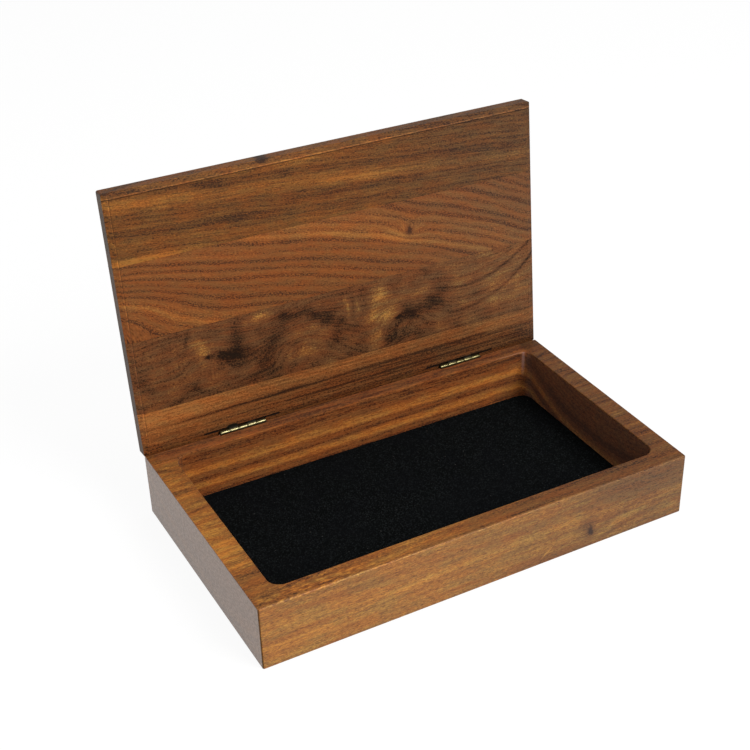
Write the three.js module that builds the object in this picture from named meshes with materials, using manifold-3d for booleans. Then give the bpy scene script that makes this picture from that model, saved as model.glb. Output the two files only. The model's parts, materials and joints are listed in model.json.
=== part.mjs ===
// Knife display case. A walnut block is routed out as a tray and lined with felt. The lid is
// four boards glued edge to edge. It hangs on two slot hinges and stands open at its stop.
// Sizes are in millimetres. X runs left to right, Y front to back and Z up, and the origin
// is the centre of the underside.

import * as THREE from 'three';
import { mergeVertices } from 'three/addons/utils/BufferGeometryUtils.js';
import Module from 'manifold-3d';

const wasm = await Module();
wasm.setup();

// Base block
const caseLength = 279.4;
const caseDepth = 165.1;
const baseHeight = 41.3;
const cornerRadius = 1.2; // upright corners of the block and the lid
const arrisRadius = 0.7; // sanded edges
const rearRoundRadius = 3.2; // back top edge, rounded so that the lid can swing past upright

// Tray
const leftWall = 14.4;
const rightWall = 13.0;
const frontWall = 12.9;
const rearWall = 11.9;
const floorThickness = 6.3;
const trayCornerRadius = 8.0;
const mouthChamfer = 0.4;

// Felt
const feltThickness = 1.5;
const feltSideGap = 0.4;
const feltGlue = 0.1;

// Lid
const lidThickness = 9.5;
const rearSeamLeft = 28.7; // lid's back edge to the glue line, at each end of the line
const rearSeamRight = 25.2;
const middleSeamLeft = 74.6;
const middleSeamRight = 73.7;
const frontSeamLeft = 121.7;
const frontSeamRight = 120.6;
const glueLine = 0.1;
const borderWidth = 3.8; // sloped border round the lid's inner face
const borderStep = 0.25; // drop from the flat field to the border
const borderFall = 1.0; // further fall from the step to the lid's edge
const openAngle = 95.3; // degrees from shut to the stop
const shutGap = 0.2; // between the rim and the shut lid

// Hinges
const leftHingeInset = 63.6; // end of the case to the middle of the hinge
const rightHingeInset = 59.6;
const pinInset = 1.4; // back face to the hinge pin
const hingeLength = 30.0;
const knuckleCount = 5;
const knuckleGap = 0.2;
const barrelRadius = 1.5;
const pinRadius = 0.75;
const pinClearance = 0.1;
const pinHeadRadius = 1.2;
const pinHeadLength = 0.4;
const leafThickness = 0.6;
const leafReach = 9.4; // pin to the end of the leaf, along the leaf
const leafRootClearance = 0.3; // leaf edge to the other leaf's knuckles
const leafCornerRadius = 5.0;
const toothDepth = 0.4;
const toothPitch = 0.8;
const toothCount = 3;

// Cuts in the wood for the hinges
const kerfAngle = 45; // degrees between each leaf and the face of the wood
const kerfClearance = 0.2; // on each side of a leaf
const cutterRadius = 38.0;
const kerfEndClearance = 1.8; // end of the leaf to the bottom of its kerf
const baseNotchClearance = 0.9; // round the barrel, leaving room for the lid leaf to swing
const lidNotchClearance = 0.4;
const notchEndClearance = 0.3;

// Smoothness of round shapes
const arcSteps = 6; // curve steps, doubled by the library on an arc
const barrelSteps = 12;
const easeSteps = 3;
const cutterSides = 96;
const notchSides = 32;
const pinSides = 24;

const overcut = 2.0; // how far a cutting shape runs past the wood

// Derived places
const half = { x: caseLength / 2, y: caseDepth / 2 };
const caseEdge = { left: -half.x, right: half.x, front: -half.y, back: half.y };
const pinY = half.y - pinInset;
const pinZ = baseHeight + shutGap / 2;
const trayEdge = {
  left: caseEdge.left + leftWall,
  right: caseEdge.right - rightWall,
  front: caseEdge.front + frontWall,
  back: caseEdge.back - rearWall,
};
const hinges = [
  { side: 'left', x: caseEdge.left + leftHingeInset },
  { side: 'right', x: caseEdge.right - rightHingeInset },
];
const baseLeafTurn = THREE.MathUtils.degToRad(180 + kerfAngle);
const lidLeafTurn = THREE.MathUtils.degToRad(180 - kerfAngle);

const walnut = new THREE.MeshStandardMaterial({ color: 0x8a5530, roughness: 0.45 });
const redWalnut = new THREE.MeshStandardMaterial({ color: 0x7d4a2a, roughness: 0.45 });
const darkWalnut = new THREE.MeshStandardMaterial({ color: 0x6e4428, roughness: 0.45 });
const figuredWalnut = new THREE.MeshStandardMaterial({ color: 0x5e3f25, roughness: 0.45 });
const felt = new THREE.MeshStandardMaterial({ color: 0x0e0f12, roughness: 1.0 });
const brass = new THREE.MeshStandardMaterial({ color: 0xb9a468, roughness: 0.3, metalness: 1.0 });
const pinBrass = new THREE.MeshStandardMaterial({ color: 0x9c8850, roughness: 0.35, metalness: 1.0 });

// Solids and meshes

function toSolid(geometry) {
  const bare = geometry.clone();
  bare.deleteAttribute('normal');
  bare.deleteAttribute('uv');
  const merged = mergeVertices(bare);
  return new wasm.Manifold(new wasm.Mesh({
    numProp: 3,
    vertProperties: merged.attributes.position.array,
    triVerts: new Uint32Array(merged.index.array),
  }));
}

function toGeometry(body) {
  const { vertProperties, triVerts } = body.getMesh();
  const geometry = new THREE.BufferGeometry();
  geometry.setAttribute('position', new THREE.BufferAttribute(new Float32Array(vertProperties), 3));
  geometry.setIndex(new THREE.BufferAttribute(new Uint32Array(triVerts), 1));
  geometry.computeVertexNormals();
  return geometry;
}

function addPiece(group, name, body, material) {
  const piece = new THREE.Mesh(toGeometry(body), material);
  piece.name = name;
  group.add(piece);
  return piece;
}

// Shapes

function insetEdge(edge, inset) {
  return {
    left: edge.left + inset,
    right: edge.right - inset,
    front: edge.front + inset,
    back: edge.back - inset,
  };
}

// A rectangle seen from above, with round corners where a radius is given
function rectangle(edge, radius = 0) {
  const shape = new THREE.Shape();
  if (radius === 0) {
    shape.moveTo(edge.left, edge.front);
    shape.lineTo(edge.right, edge.front);
    shape.lineTo(edge.right, edge.back);
    shape.lineTo(edge.left, edge.back);
    return shape;
  }
  const quarter = Math.PI / 2;
  shape.absarc(edge.right - radius, edge.front + radius, radius, -quarter, 0);
  shape.absarc(edge.right - radius, edge.back - radius, radius, 0, quarter);
  shape.absarc(edge.left + radius, edge.back - radius, radius, quarter, 2 * quarter);
  shape.absarc(edge.left + radius, edge.front + radius, radius, 2 * quarter, 3 * quarter);
  return shape;
}

// A flat board with sanded top and bottom edges
function easedBoard(edge, radius, low, high) {
  const geometry = new THREE.ExtrudeGeometry(rectangle(insetEdge(edge, arrisRadius), radius - arrisRadius), {
    depth: high - low - 2 * arrisRadius,
    bevelThickness: arrisRadius,
    bevelSize: arrisRadius,
    bevelSegments: easeSteps,
    curveSegments: easeSteps,
  });
  geometry.translate(0, 0, low + arrisRadius);
  return toSolid(geometry);
}

// An outline carried straight up
function upright(outline, low, high) {
  const geometry = new THREE.ExtrudeGeometry(outline, {
    depth: high - low,
    bevelEnabled: false,
    curveSegments: arcSteps,
  });
  geometry.translate(0, 0, low);
  return toSolid(geometry);
}

function plainBoard(edge, radius, low, high) {
  return upright(rectangle(edge, radius), low, high);
}

// A board whose underside slopes out and up from the given edge by one straight bevel
function slopedBoard(edge, radius, low, high, run, rise) {
  const geometry = new THREE.ExtrudeGeometry(rectangle(edge, radius), {
    depth: high - low,
    bevelThickness: rise,
    bevelSize: run,
    bevelSegments: 1,
    curveSegments: arcSteps,
  });
  geometry.translate(0, 0, low + rise);
  return toSolid(geometry);
}

// A section drawn in the YZ plane and run along X, centred on x = 0
function alongX(section, length, steps) {
  const geometry = new THREE.ExtrudeGeometry(section, {
    depth: length,
    bevelEnabled: false,
    curveSegments: steps,
  });
  geometry.translate(0, 0, -length / 2);
  const axes = [new THREE.Vector3(0, 1, 0), new THREE.Vector3(0, 0, 1), new THREE.Vector3(1, 0, 0)];
  return geometry.applyMatrix4(new THREE.Matrix4().makeBasis(...axes));
}

// Cuts for one hinge, measured from its pin, at the middle of the hinge

function kerf(turn) {
  const geometry = new THREE.CylinderGeometry(
    cutterRadius, cutterRadius, leafThickness + 2 * kerfClearance, cutterSides);
  geometry.rotateX(Math.PI / 2);
  const bottom = leafReach + kerfEndClearance;
  geometry.translate(0, bottom - cutterRadius, barrelRadius - leafThickness / 2);
  return geometry.rotateX(turn);
}

function barrelNotch(clearance) {
  const radius = barrelRadius + clearance;
  const length = hingeLength + 2 * (pinHeadLength + notchEndClearance);
  const geometry = new THREE.CylinderGeometry(radius, radius, length, notchSides);
  return geometry.rotateZ(Math.PI / 2);
}

function cutForHinges(body, turn, clearance, y, z) {
  let cut = body;
  for (const { x } of hinges) {
    cut = cut.subtract(toSolid(kerf(turn).translate(x, y, z)));
    cut = cut.subtract(toSolid(barrelNotch(clearance).translate(x, y, z)));
  }
  return cut;
}

// Base

function rearRoundCutter() {
  const section = new THREE.Shape();
  const y = caseEdge.back - rearRoundRadius;
  const z = baseHeight - rearRoundRadius;
  section.absarc(y, z, rearRoundRadius, Math.PI / 2, 0, true);
  section.lineTo(caseEdge.back + overcut, z);
  section.lineTo(caseEdge.back + overcut, baseHeight + overcut);
  section.lineTo(y, baseHeight + overcut);
  return toSolid(alongX(section, caseLength + 2 * overcut, arcSteps));
}

function baseBlock() {
  const mouthLow = baseHeight - mouthChamfer;
  const block = easedBoard(caseEdge, cornerRadius, 0, baseHeight)
    .subtract(plainBoard(trayEdge, trayCornerRadius, floorThickness, baseHeight + overcut))
    .subtract(slopedBoard(trayEdge, trayCornerRadius, mouthLow, baseHeight + overcut, mouthChamfer, mouthChamfer))
    .subtract(rearRoundCutter());
  return cutForHinges(block, baseLeafTurn, baseNotchClearance, pinY, pinZ);
}

function feltPad() {
  const low = floorThickness + feltGlue;
  return plainBoard(insetEdge(trayEdge, feltSideGap), trayCornerRadius - feltSideGap, low, low + feltThickness);
}

// Lid, drawn shut and measured from the hinge pin

const lidEdge = {
  left: caseEdge.left,
  right: caseEdge.right,
  front: pinInset - caseDepth,
  back: pinInset,
};
const lidUnder = shutGap / 2;
const lidTop = lidUnder + lidThickness;

function wholeLid() {
  const fieldEdge = insetEdge(lidEdge, borderWidth);
  const slopeRun = borderWidth + overcut;
  const slopeRise = (borderFall * slopeRun) / borderWidth;
  const field = plainBoard(fieldEdge, 0, lidUnder, lidTop);
  const border = slopedBoard(fieldEdge, 0, lidUnder + borderStep, lidTop + overcut, slopeRun, slopeRise);
  const slab = easedBoard(lidEdge, cornerRadius, lidUnder, lidTop);
  const lid = slab.intersect(field.add(border));
  return cutForHinges(lid, lidLeafTurn, lidNotchClearance, 0, 0);
}

// The glue lines run almost along the lid, so each has its own distance at either end
const seams = {
  rear: { left: rearSeamLeft, right: rearSeamRight },
  middle: { left: middleSeamLeft, right: middleSeamRight },
  front: { left: frontSeamLeft, right: frontSeamRight },
};

function seamY({ left, right }, x) {
  return lidEdge.back - THREE.MathUtils.mapLinear(x, lidEdge.left, lidEdge.right, left, right);
}

// The part of the lid between two glue lines, or past the last one where a line is left out
function boardSlice(backSeam, frontSeam) {
  const ends = [lidEdge.left - overcut, lidEdge.right + overcut];
  const backY = (x) => (backSeam ? seamY(backSeam, x) - glueLine / 2 : lidEdge.back + overcut);
  const frontY = (x) => (frontSeam ? seamY(frontSeam, x) + glueLine / 2 : lidEdge.front - overcut);
  const front = ends.map((x) => new THREE.Vector2(x, frontY(x)));
  const back = ends.map((x) => new THREE.Vector2(x, backY(x))).reverse();
  return upright(new THREE.Shape([...front, ...back]), lidUnder - overcut, lidTop + overcut);
}

function lidBoards() {
  const lid = wholeLid();
  return [
    { name: 'lid_board_rear', slice: boardSlice(null, seams.rear), material: darkWalnut },
    { name: 'lid_board_mid_rear', slice: boardSlice(seams.rear, seams.middle), material: figuredWalnut },
    { name: 'lid_board_mid_front', slice: boardSlice(seams.middle, seams.front), material: redWalnut },
    { name: 'lid_board_front', slice: boardSlice(seams.front, null), material: walnut },
  ].map(({ name, slice, material }) => ({ name, body: lid.intersect(slice), material }));
}

// Hinge leaves, measured from the pin, with the leaf running towards +Y below +Z of the barrel

const leafRoot = barrelRadius + leafRootClearance;
const leafFace = barrelRadius - leafThickness;
const knuckleLength = hingeLength / knuckleCount;

function leafOutline() {
  const side = (hingeLength - knuckleGap) / 2 - toothDepth;
  const shape = new THREE.Shape();
  shape.moveTo(side, leafRoot);
  for (let tooth = 0; tooth < toothCount; tooth += 1) {
    const y = leafRoot + tooth * toothPitch;
    shape.lineTo(side + toothDepth, y);
    shape.lineTo(side, y + toothPitch);
  }
  const turn = leafReach - leafCornerRadius;
  shape.absarc(side - leafCornerRadius, turn, leafCornerRadius, 0, Math.PI / 2);
  shape.absarc(leafCornerRadius - side, turn, leafCornerRadius, Math.PI / 2, Math.PI);
  for (let tooth = toothCount - 1; tooth >= 0; tooth -= 1) {
    const y = leafRoot + tooth * toothPitch;
    shape.lineTo(-side, y + toothPitch);
    shape.lineTo(-side - toothDepth, y);
  }
  shape.lineTo(-side, leafRoot);
  return shape;
}

function knuckleSection() {
  const ring = new THREE.Shape();
  ring.absarc(0, 0, barrelRadius, 0, 2 * Math.PI);
  const bore = new THREE.Path();
  bore.absarc(0, 0, pinRadius + pinClearance, 0, 2 * Math.PI, true);
  ring.holes.push(bore);
  return ring;
}

// The leaf carries every second knuckle, starting from the given one
function hingeLeaf(firstKnuckle) {
  const plate = new THREE.ExtrudeGeometry(leafOutline(), {
    depth: leafThickness,
    bevelEnabled: false,
    curveSegments: arcSteps,
  });
  let leaf = toSolid(plate.translate(0, 0, leafFace));
  const length = knuckleLength - knuckleGap;
  for (let index = firstKnuckle; index < knuckleCount; index += 2) {
    const x = (index + 0.5) * knuckleLength - hingeLength / 2;
    const ring = alongX(knuckleSection(), length, barrelSteps).translate(x, 0, 0);
    const tabReach = leafRoot + leafRootClearance;
    const tab = new THREE.BoxGeometry(length, tabReach, leafThickness);
    tab.translate(x, tabReach / 2, leafFace + leafThickness / 2);
    leaf = leaf.add(toSolid(ring)).add(toSolid(tab));
  }
  return leaf;
}

function hingePin() {
  const stem = hingeLength / 2;
  const end = stem + pinHeadLength;
  const profile = [
    [0, -end], [pinHeadRadius, -end], [pinHeadRadius, -stem], [pinRadius, -stem],
    [pinRadius, stem], [pinHeadRadius, stem], [pinHeadRadius, end], [0, end],
  ].map(([radius, y]) => new THREE.Vector2(radius, y));
  return toSolid(new THREE.LatheGeometry(profile, pinSides).rotateZ(Math.PI / 2));
}

// Assembly

const displayCase = new THREE.Group();
addPiece(displayCase, 'base_block', baseBlock(), walnut);
addPiece(displayCase, 'felt_pad', feltPad(), felt);

const baseHinges = new THREE.Group();
baseHinges.position.set(0, pinY, pinZ);
displayCase.add(baseHinges);

const lid = new THREE.Group();
lid.position.set(0, pinY, pinZ);
lid.rotation.x = -THREE.MathUtils.degToRad(openAngle);
displayCase.add(lid);

for (const { name, body, material } of lidBoards()) {
  addPiece(lid, name, body, material);
}

for (const { side, x } of hinges) {
  const baseLeaf = addPiece(baseHinges, `hinge_${side}_base_leaf`, hingeLeaf(0), brass);
  baseLeaf.position.x = x;
  baseLeaf.rotation.x = baseLeafTurn;
  const pin = addPiece(baseHinges, `hinge_${side}_pin`, hingePin(), pinBrass);
  pin.position.x = x;
  const lidLeaf = addPiece(lid, `hinge_${side}_lid_leaf`, hingeLeaf(1), brass);
  lidLeaf.position.x = x;
  lidLeaf.rotation.x = lidLeafTurn;
}

export default displayCase;
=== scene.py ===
import json
from math import copysign, cos, pi, radians, sin, sqrt

import bmesh
import bpy
from mathutils import Matrix, Vector


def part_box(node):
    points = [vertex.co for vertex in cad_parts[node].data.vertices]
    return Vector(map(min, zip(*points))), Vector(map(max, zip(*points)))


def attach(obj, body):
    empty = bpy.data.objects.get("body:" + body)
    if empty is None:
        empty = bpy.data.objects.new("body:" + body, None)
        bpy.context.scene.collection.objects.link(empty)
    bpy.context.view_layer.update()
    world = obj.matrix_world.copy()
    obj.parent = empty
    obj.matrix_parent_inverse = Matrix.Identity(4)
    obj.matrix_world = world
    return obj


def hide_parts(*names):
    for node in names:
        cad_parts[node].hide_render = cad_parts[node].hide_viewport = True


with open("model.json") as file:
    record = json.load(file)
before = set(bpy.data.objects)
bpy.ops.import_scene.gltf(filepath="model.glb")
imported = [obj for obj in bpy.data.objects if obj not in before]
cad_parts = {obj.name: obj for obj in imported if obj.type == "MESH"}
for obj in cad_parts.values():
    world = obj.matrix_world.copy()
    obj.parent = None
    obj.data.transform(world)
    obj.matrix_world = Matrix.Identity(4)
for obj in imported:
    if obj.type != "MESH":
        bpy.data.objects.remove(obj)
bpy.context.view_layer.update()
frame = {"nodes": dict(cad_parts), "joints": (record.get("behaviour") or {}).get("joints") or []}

# A walnut display case with its lid standing open: one routed block lined with felt,
# four lid boards glued edge to edge, and two small slot hinges.

mm = 0.001
white = (1.0, 1.0, 1.0, 1.0)
lidJoint = frame["joints"][0]
pinCentre = Vector(lidJoint["pos_m"]) / mm
openAngle = radians(lidJoint["range_deg"][1])  # how far the lid has swung from shut
baseLow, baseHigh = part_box("base_block")
feltLow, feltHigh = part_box("felt_pad")
caseSize = (baseHigh - baseLow) / mm
trayMiddle = 0.7  # the right wall is thinner than the left one
pinInset = baseHigh.y / mm - pinCentre.y
lidThickness = 9.5
lidGap = 0.1  # pin's height to the lid's inner face when shut
slant = sqrt(0.5)  # the hinge leaves lie at 45 degrees


def tint(code):  # a colour from its six hex digits, made linear
    parts = [int(code[i:i + 2], 16) / 255 for i in (0, 2, 4)]
    return tuple(c / 12.92 if c <= 0.04045 else ((c + 0.055) / 1.055) ** 2.4 for c in parts) + (1.0,)


def addObject(name, data):
    item = bpy.data.objects.new(name, data)
    bpy.context.scene.collection.objects.link(item)
    return item


# camera, at the angle of the picture

cameraSettings = {
    "azimuth": -30.12,  # degrees round from straight in front
    "elevation": 33.21,
    "roll": -0.22,
    "distance": 0.8642,
    "aim": (0.01944, 0.00663, 0.05001),
    "lens": 68.65, "sensor": 36.0,
    "shift": (-0.0829, 0.0720),
}


def addCamera(settings):
    azimuth, elevation, roll = [radians(settings[key]) for key in ("azimuth", "elevation", "roll")]
    turn = Matrix.Rotation(azimuth, 4, "Z") @ Matrix.Rotation(pi / 2 - elevation, 4, "X")
    back = Matrix.Translation((0, 0, settings["distance"]))
    data = bpy.data.cameras.new("photoCamera")
    data.lens = settings["lens"]
    data.sensor_width = settings["sensor"]
    data.shift_x, data.shift_y = settings["shift"]
    camera = addObject("photoCamera", data)
    camera.matrix_world = Matrix.Translation(settings["aim"]) @ turn @ Matrix.Rotation(roll, 4, "Z") @ back
    bpy.context.scene.camera = camera


addCamera(cameraSettings)
print("camera set")


# short ways to write nodes: a Signal is what a socket gives, so sums of them are written as on paper

class Signal:
    def __init__(self, socket):
        self.socket = socket
        self.tree = socket.id_data
        self.isVector = socket.type in ("VECTOR", "RGBA")

    def __add__(self, other):
        return combine("ADD", self, other)

    def __radd__(self, other):
        return combine("ADD", other, self)

    def __sub__(self, other):
        return combine("SUBTRACT", self, other)

    def __rsub__(self, other):
        return combine("SUBTRACT", other, self)

    def __mul__(self, other):
        return combine("MULTIPLY", self, other)

    def __rmul__(self, other):
        return combine("MULTIPLY", other, self)

    def __truediv__(self, other):
        return combine("DIVIDE", self, other)

    def __abs__(self):
        return combine("ABSOLUTE", self)

    def step(self, low, high, toLow=0.0, toHigh=1.0):  # goes smoothly from one level to another
        return addNode(self.tree, "ShaderNodeMapRange", {
            "Value": self, "From Min": low, "From Max": high, "To Min": toLow, "To Max": toHigh,
        }, interpolation_type="SMOOTHSTEP")


def feed(socket, value):
    if isinstance(value, Signal):
        value.tree.links.new(value.socket, socket)
    else:
        socket.default_value = value


def treeOf(values):
    return next(value.tree for value in values if isinstance(value, Signal))


def named(sockets):
    return {socket.name: Signal(socket) for socket in sockets}


def addNode(tree, kind, inputs=None, output=0, **settings):
    node = tree.nodes.new(kind)
    for name, value in settings.items():
        setattr(node, name, value)
    for key, value in (inputs or {}).items():
        feed(node.inputs[key], value)
    return Signal(node.outputs[output])


def combine(operation, *values):
    asVectors = any(value.isVector for value in values if isinstance(value, Signal))
    if asVectors:
        values = [(value,) * 3 if isinstance(value, (int, float)) else value for value in values]
    measures = asVectors and operation in ("LENGTH", "DISTANCE", "DOT_PRODUCT")
    return addNode(treeOf(values), "ShaderNodeVectorMath" if asVectors else "ShaderNodeMath",
                   dict(enumerate(values)), "Value" if measures else 0, operation=operation)


def larger(first, second):
    return combine("MAXIMUM", first, second)


def smaller(first, second):
    return combine("MINIMUM", first, second)


def join(x=0.0, y=0.0, z=0.0):
    return addNode(treeOf((x, y, z)), "ShaderNodeCombineXYZ", {0: x, 1: y, 2: z})


def split(vector):
    node = vector.tree.nodes.new("ShaderNodeSeparateXYZ")
    feed(node.inputs[0], vector)
    return [Signal(socket) for socket in node.outputs]


def blendColour(factor, first, second):
    return addNode(treeOf((factor, first, second)), "ShaderNodeMix", {0: factor, 6: first, 7: second}, 2,
                   data_type="RGBA")


def noise(vector, scale, detail=2.0, roughness=0.5, output="Fac"):
    return addNode(vector.tree, "ShaderNodeTexNoise", {
        "Vector": vector * scale, "Scale": 1.0, "Detail": detail, "Roughness": roughness}, output)


def cells(vector, scale):  # how far off the nearest of many scattered points is
    return addNode(vector.tree, "ShaderNodeTexVoronoi", {"Vector": vector * scale, "Scale": 1.0}, "Distance")


def bump(height, strength, depth):
    return addNode(height.tree, "ShaderNodeBump", {
        "Height": height, "Strength": strength, "Distance": depth * mm})


def spread(value, stops):  # tones listed at places along a value, with smooth changes between
    first, last = stops[0][0], stops[-1][0]
    node = value.tree.nodes.new("ShaderNodeValToRGB")
    feed(node.inputs["Fac"], (value - first) / (last - first))
    ramp = node.color_ramp
    ramp.interpolation = "B_SPLINE"
    while len(ramp.elements) < len(stops):
        ramp.elements.new(0.5)
    for element, (at, tone) in zip(ramp.elements, stops):
        element.position = (at - first) / (last - first)
        element.color = (tone, tone, tone, 1.0)
    spreadTone = Signal(node.outputs["Color"])
    spreadTone.isVector = False  # it is grey, so it counts as a single value
    return spreadTone


def layered(colour, layers):
    for mask, code in layers:
        colour = blendColour(mask, colour, tint(code))
    return colour


def newGroup(name, inputs, outputs, treeKind="ShaderNodeTree"):
    tree = bpy.data.node_groups.new(name, treeKind)
    kinds = {float: "Float", int: "Int", tuple: "Vector"}
    for label, given in inputs.items():  # what kind it is, or its default
        kind = given if isinstance(given, str) else kinds[type(given)]
        socket = tree.interface.new_socket(label, in_out="INPUT", socket_type="NodeSocket" + kind)
        if kind != given:
            socket.default_value = given
    for label, kind in outputs.items():
        tree.interface.new_socket(label, in_out="OUTPUT", socket_type="NodeSocket" + kind)
    return tree, named(tree.nodes.new("NodeGroupInput").outputs), tree.nodes.new("NodeGroupOutput").inputs


def useGroup(group, inputs):
    node = treeOf(inputs.values()).nodes.new("ShaderNodeGroup")
    node.node_tree = group
    for key, value in inputs.items():
        feed(node.inputs[key], value)
    return named(node.outputs)


def newMaterial(name):
    material = bpy.data.materials.new(name)
    material.use_nodes = True
    tree = material.node_tree
    return material, tree, tree.nodes["Principled BSDF"].inputs


def objectPlace(tree):  # where a point is, in mm
    return addNode(tree, "ShaderNodeTexCoord", output="Object") * (1 / mm)


# shared finishes: walnut grain, soft spots and bent lines in the figure, worn arrises, painted shade in the
# saw kerfs and round the barrels

def makeGrainGroup():
    tree, given, made = newGroup("walnutGrain", {
        "Fibre": "Vector", "Ring": 0.0, "Spacing": 5.0, "Ring Strength": 0.5, "Streak Strength": 0.5,
        "Speckle Strength": 1.0, "Pore Strength": 0.6, "Tone": 0.5, "Light Colour": "Color",
        "Middle Colour": "Color", "Dark Colour": "Color",
    }, {"Color": "Color", "Roughness": "Float", "Height": "Float"})
    fibre = given["Fibre"]
    broad = noise(fibre, (0.006, 0.22, 0.22), 3.0) - 0.5
    fine = noise(fibre, (0.07, 1.3, 1.3), 4.0, 0.65)
    mottle = noise(fibre, (0.5, 1.1, 1.1), 3.0, 0.7)
    speckle = noise(fibre, (0.8, 1.7, 1.7), 1.0, 0.8)
    # growth rings: each darkens slowly, then ends at a soft line
    wander = noise(fibre, (0.012, 0.04, 0.04))
    ripple = noise(fibre, (0.7, 0.3, 0.3)) - 0.5
    ringPlace = given["Ring"] + wander * given["Spacing"] + ripple * 1.4
    phase = combine("FRACT", ringPlace / given["Spacing"])
    lateWood = phase.step(0.06, 0.62) * phase.step(1.0, 0.64)
    mood = noise(join(split(fibre)[0] * 0.004, given["Ring"]), 0.13, 1.0).step(0.3, 0.7, 0.5, 1.0)
    broken = (fine + mottle).step(1.25, 0.85, 0.6, 1.15) * speckle.step(0.32, 0.68, 1.6, 0.3)
    # colour streaks and fine fibres along the grain
    streak = broad * 0.9 + (fine - 0.5) * 1.9 + (mottle - 0.5) * 1.2
    tone = given["Tone"] + streak * given["Streak Strength"] + (speckle - 0.5) * given["Speckle Strength"]
    tone = tone - lateWood * mood * given["Ring Strength"] * broken
    colour = blendColour(tone.step(0.0, 0.5), given["Dark Colour"], given["Middle Colour"])
    colour = blendColour(tone.step(0.5, 1.0), colour, given["Light Colour"])
    # the hue wanders between reddish and yellowish brown
    warmth = noise(fibre, (0.05, 0.2, 0.2), 4.0, 0.7).step(0.38, 0.62)
    colour = colour * blendColour(warmth, (1.07, 0.95, 0.88, 1.0), (0.94, 1.04, 1.1, 1.0))
    # pores: short dark dashes along the grain, which show as dots on end grain
    pore = cells(fibre, (0.3, 1.4, 1.4)).step(0.42, 0.16) * phase.step(0.0, 0.9, 1.0, 0.45)
    colour = blendColour(pore * given["Pore Strength"], colour, colour * 0.38)
    feed(made["Color"], colour)
    feed(made["Roughness"], fine * 0.16 + 0.36 + pore * 0.2)
    feed(made["Height"], fine * 0.3 - pore)
    return tree


def makeSpotGroup():
    tree, given, made = newGroup("softSpot", {
        "Vector": "Vector", "Centre": "Vector", "Size": (10.0, 10.0, 10.0), "Turn": 0.0,
    }, {"Nearness": "Float"})
    offset = addNode(tree, "ShaderNodeVectorRotate", {
        "Vector": given["Vector"] - given["Centre"], "Angle": given["Turn"] * -1.0}, rotation_type="Z_AXIS")
    offset = offset / given["Size"]
    feed(made["Nearness"], combine("EXPONENT", combine("DOT_PRODUCT", offset, offset) * -1.0))
    return tree


def makeLineGroup(fade=14.0):  # a line fades in and out over its first and last few millimetres
    tree, given, made = newGroup("bentLine", {
        "Vector": "Vector", "Middle": "Vector", "Bend": 0.0, "Width": 1.0, "First": 0.0, "Last": 100.0,
    }, {"Nearness": "Float"})
    along, across = split(given["Vector"])[:2]
    middle, height = split(given["Middle"])[:2]
    run = along - middle
    off = (across - (run * run * given["Bend"] + height)) / given["Width"]
    near = combine("EXPONENT", off * off * -1.0)
    ends = (along - given["First"]).step(0.0, fade) * (given["Last"] - along).step(0.0, fade)
    feed(made["Nearness"], near * ends)
    return tree


def makeWearGroup():
    tree, given, made = newGroup("wornArris", {
        "Vector": "Vector", "Centre": "Vector", "Half Size": "Vector", "Width": 0.9, "Colour": "Color",
        "Strength": 0.35}, {"Color": "Color", "Mask": "Float"})
    a, b, c = split(given["Half Size"] - abs(given["Vector"] - given["Centre"]))
    # on a face one distance is nothing, and the middle one is how far off the nearest arris is
    distance = larger(smaller(a, b), smaller(larger(a, b), c))
    ragged = given["Width"] * noise(given["Vector"], 0.35, 3.0)
    mask = (distance / ragged).step(2.4, 0.4)
    feed(made["Color"], blendColour(mask * given["Strength"], given["Colour"],
                                    given["Colour"] * (1.55, 1.45, 1.35)))
    feed(made["Mask"], mask)
    return tree


# painted shade: the kerf walls and the grooves round the hinge barrels are darkened in colour
kerfSettings = {
    "middle": 1.2, "half": 0.74,  # from the pin's axis to the kerf's middle, and half its width
    "radius": 38.2, "setBack": 26.8,  # the cutter, and how far its centre is behind the pin
    "groove": 1.95, "grooveHalf": 15.5,
    "soft": 0.3,  # how gently the groove's painted shade ends
    "kerfPaintedShade": 0.93, "groovePaintedShade": 0.7,
}


def makeKerfGroup(settings):
    tree, given, made = newGroup("hingeKerf", {
        "Along": 0.0, "Aside": 0.0, "Depth": 0.0, "Centre": 0.0}, {"Kerf": "Float", "Groove": "Float"})
    aside, depth = given["Aside"], given["Depth"]
    off = given["Along"] - given["Centre"]
    half, radius, soft = settings["half"], settings["radius"], settings["soft"]
    slab = abs(aside - settings["middle"]).step(half + 0.05, half - 0.05)
    reach = combine("DISTANCE", join(off, depth), (0.0, -settings["setBack"], 0.0))
    feed(made["Kerf"], slab * depth.step(0.0, 0.4) * reach.step(radius + 0.1, radius - 0.2))
    groove, grooveHalf = settings["groove"], settings["grooveHalf"]
    around = combine("LENGTH", join(aside, depth)).step(groove + soft, groove - soft)
    feed(made["Groove"], around * abs(off).step(grooveHalf + soft, grooveHalf - soft))
    return tree


grainGroup = makeGrainGroup()
spotGroup = makeSpotGroup()
lineGroup = makeLineGroup()
wearGroup = makeWearGroup()
kerfGroup = makeKerfGroup(kerfSettings)


def loosen(place, reach, scale):  # shifts places about, so that what lies there gets ragged edges
    return place + (noise(place, scale, 3.0, 0.6, "Color") - 0.5) * (reach, reach, 0.0)


def spotSum(place, spots):  # each is its centre, half length, half width, turn in degrees and strength
    total = 0.0
    for u, l, length, width, turn, amount in spots:
        near = useGroup(spotGroup, {
            "Vector": place, "Centre": (u, l, 0.0), "Size": (length, width, 1000.0),
            "Turn": radians(turn)})["Nearness"]
        total = near * amount + total
    return total


def lineSum(place, lines):  # each is its middle, bend, half width, first and last places and strength
    total = 0.0
    for u, l, bend, width, first, last, amount in lines:
        near = useGroup(lineGroup, {
            "Vector": place, "Middle": (u, l, 0.0), "Bend": bend, "Width": width,
            "First": first, "Last": last})["Nearness"]
        total = near * amount + total
    return total


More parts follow.
